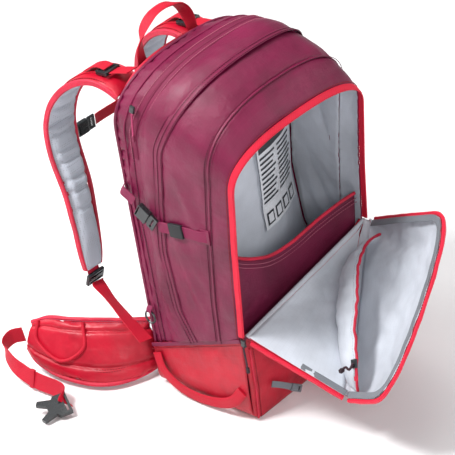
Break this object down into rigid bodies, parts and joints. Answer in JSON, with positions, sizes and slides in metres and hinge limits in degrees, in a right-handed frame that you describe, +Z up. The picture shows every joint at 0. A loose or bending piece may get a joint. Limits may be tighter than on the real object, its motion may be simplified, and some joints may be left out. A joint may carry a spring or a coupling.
{
  "type": "ski touring backpack",
  "caption": "Upright ski touring backpack with an arched top zip, an opened front safety compartment, padded shoulder straps and a hip belt.",
  "frame": {"origin": "centre of the flat base, on the floor", "axes": "+Z up, +Y towards the wearer's back, -Y out of the pack's front, +X to the right seen from the front"},
  "size_m": [0.6261, 0.6753, 0.5816],
  "materials": {
    "shell_nylon": "cranberry ripstop nylon with a soft sheen",
    "red_nylon": "red ripstop nylon",
    "red_webbing": "woven red webbing",
    "grey_lining": "light grey coated lining",
    "grey_padding": "light grey spacer padding with red nylon outside",
    "back_padding": "dark foam back padding",
    "red_zip": "coil zip on red tape",
    "black_acetal": "moulded black acetal",
    "frame_plastic": "polyethylene sheet",
    "stay_aluminium": "anodised flat bar",
    "pull_cord": "braided cord"
  },
  "bodies": {
    "pack": {"main_bag": "shell_nylon", "front_compartment_shell": "shell_nylon", "tool_pocket": "shell_nylon", "base_boat": "red_nylon", "base_front_panel": "red_nylon", "compartment_divider": "grey_lining", "back_panel_pad": "back_padding", "frame_sheet": "frame_plastic", "frame_stay_left": "stay_aluminium", "frame_stay_right": "stay_aluminium", "lumbar_pad": "grey_padding", "front_zip_rim": "red_zip", "haul_loop": "red_webbing", "main_zip_slider": "black_acetal", "front_zip_slider": "black_acetal", "shoulder_strap_left": "grey_padding", "ladder_lock_left": "black_acetal", "lower_webbing_left": "red_webbing", "load_lifter_webbing_left": "red_webbing", "load_lifter_buckle_left": "black_acetal", "compression_webbing_rear_left": "red_webbing", "compression_webbing_front_left": "red_webbing", "compression_buckle_left_tongue": "black_acetal", "ski_tail_loop_left": "red_webbing", "shoulder_strap_right": "grey_padding", "ladder_lock_right": "black_acetal", "lower_webbing_right": "red_webbing", "load_lifter_webbing_right": "red_webbing", "load_lifter_buckle_right": "black_acetal", "compression_webbing_rear_right": "red_webbing", "compression_webbing_front_right": "red_webbing", "compression_buckle_right_tongue": "black_acetal", "ski_tail_loop_right": "red_webbing"},
    "top_lid": {"top_lid": "shell_nylon"},
    "flap_lower": {"flap_lower_panel": "shell_nylon", "flap_lower_zip": "red_zip"},
    "flap_upper": {"flap_upper_panel": "shell_nylon", "flap_upper_zip": "red_zip", "flap_inner_pocket": "grey_lining"},
    "sternum_rail": {"sternum_slider_left": "black_acetal", "sternum_slider_right": "black_acetal", "sternum_webbing_left": "red_webbing", "sternum_webbing_right": "red_webbing", "sternum_buckle_socket": "black_acetal"},
    "sternum_tongue": {"sternum_buckle_tongue": "black_acetal"},
    "hip_wing_left": {"hip_wing_left": "red_nylon", "gear_loop_left": "red_webbing", "hip_webbing_left": "red_webbing"},
    "hip_wing_right": {"hip_wing_right": "red_nylon", "gear_loop_right": "red_webbing", "hip_webbing_right": "red_webbing"},
    "hip_tongue": {"hip_buckle_tongue": "black_acetal"},
    "hip_socket": {"hip_buckle_socket": "black_acetal"},
    "compression_socket_left": {"compression_buckle_left_socket": "black_acetal"},
    "compression_socket_right": {"compression_buckle_right_socket": "black_acetal"},
    "ring_left": {"side_ring_left": "black_acetal"},
    "ring_right": {"side_ring_right": "black_acetal"},
    "main_pull": {"main_zip_pull": "pull_cord"},
    "front_pull": {"front_zip_pull": "pull_cord"}
  },
  "joints": [
    {"name": "front_flap", "type": "hinge", "parent": "pack", "child": "flap_lower", "pos_m": [-0.144, -0.101, 0.155], "axis": [0.9869, 0, 0.1611], "range_deg": [-115, 0]},
    {"name": "flap_fold", "type": "hinge", "parent": "flap_lower", "child": "flap_upper", "pos_m": [-0.10198, -0.24593, 0.07299], "axis": [0.7851, 0.4626, 0.4118], "range_deg": [0, 69]},
    {"name": "top_lid", "type": "hinge", "parent": "pack", "child": "top_lid", "pos_m": [0, -0.044, 0.54], "axis": [1, 0, 0], "range_deg": [0, 100]},
    {"name": "sternum_height", "type": "slide", "parent": "pack", "child": "sternum_rail", "axis": [0, 0, 1], "range_m": [-0.02, 0.02]},
    {"name": "sternum_release", "type": "slide", "parent": "sternum_rail", "child": "sternum_tongue", "axis": [1, 0, 0], "range_m": [0, 0.02], "deforming": ["sternum_webbing_right"]},
    {"name": "hip_wing_left", "type": "hinge", "parent": "pack", "child": "hip_wing_left", "pos_m": [-0.108, 0.12, 0.05], "axis": [0, 0, 1], "range_deg": [-30, 16], "deforming": ["lower_webbing_left"]},
    {"name": "hip_buckle_left", "type": "hinge", "parent": "hip_wing_left", "child": "hip_tongue", "pos_m": [-0.262, 0.188, 0.018], "axis": [0.6699, 0.6699, 0.32], "range_deg": [0, 70]},
    {"name": "compression_release_left", "type": "slide", "parent": "pack", "child": "compression_socket_left", "axis": [0, 0.8211, 0.5708], "range_m": [0, 0.024], "deforming": ["compression_webbing_rear_left"]},
    {"name": "side_ring_left", "type": "hinge", "parent": "pack", "child": "ring_left", "pos_m": [-0.149, 0.083, 0.1405], "axis": [0, 1, 0], "range_deg": [0, 70]},
    {"name": "hip_wing_right", "type": "hinge", "parent": "pack", "child": "hip_wing_right", "pos_m": [0.108, 0.12, 0.05], "axis": [0, 0, 1], "range_deg": [-16, 30], "deforming": ["lower_webbing_right"]},
    {"name": "hip_buckle_right", "type": "hinge", "parent": "hip_wing_right", "child": "hip_socket", "pos_m": [0.262, 0.188, 0.018], "axis": [0.6699, -0.6699, -0.32], "range_deg": [0, 70]},
    {"name": "compression_release_right", "type": "slide", "parent": "pack", "child": "compression_socket_right", "axis": [0, 0.8211, 0.5708], "range_m": [0, 0.024], "deforming": ["compression_webbing_rear_right"]},
    {"name": "side_ring_right", "type": "hinge", "parent": "pack", "child": "ring_right", "pos_m": [0.149, 0.083, 0.1405], "axis": [0, 1, 0], "range_deg": [-70, 0]},
    {"name": "main_zip_pull", "type": "hinge", "parent": "pack", "child": "main_pull", "pos_m": [-0.148, 0.051, 0.483], "axis": [1, 0, 0], "range_deg": [-75, 75]},
    {"name": "front_zip_pull", "type": "hinge", "parent": "pack", "child": "front_pull", "pos_m": [-0.1515, -0.1045, 0.144], "axis": [1, 0, 0], "range_deg": [-60, 60]}
  ],
  "couplings": [
    {"joint": "flap_fold", "follows": "front_flap", "ratio": -0.6}
  ]
}
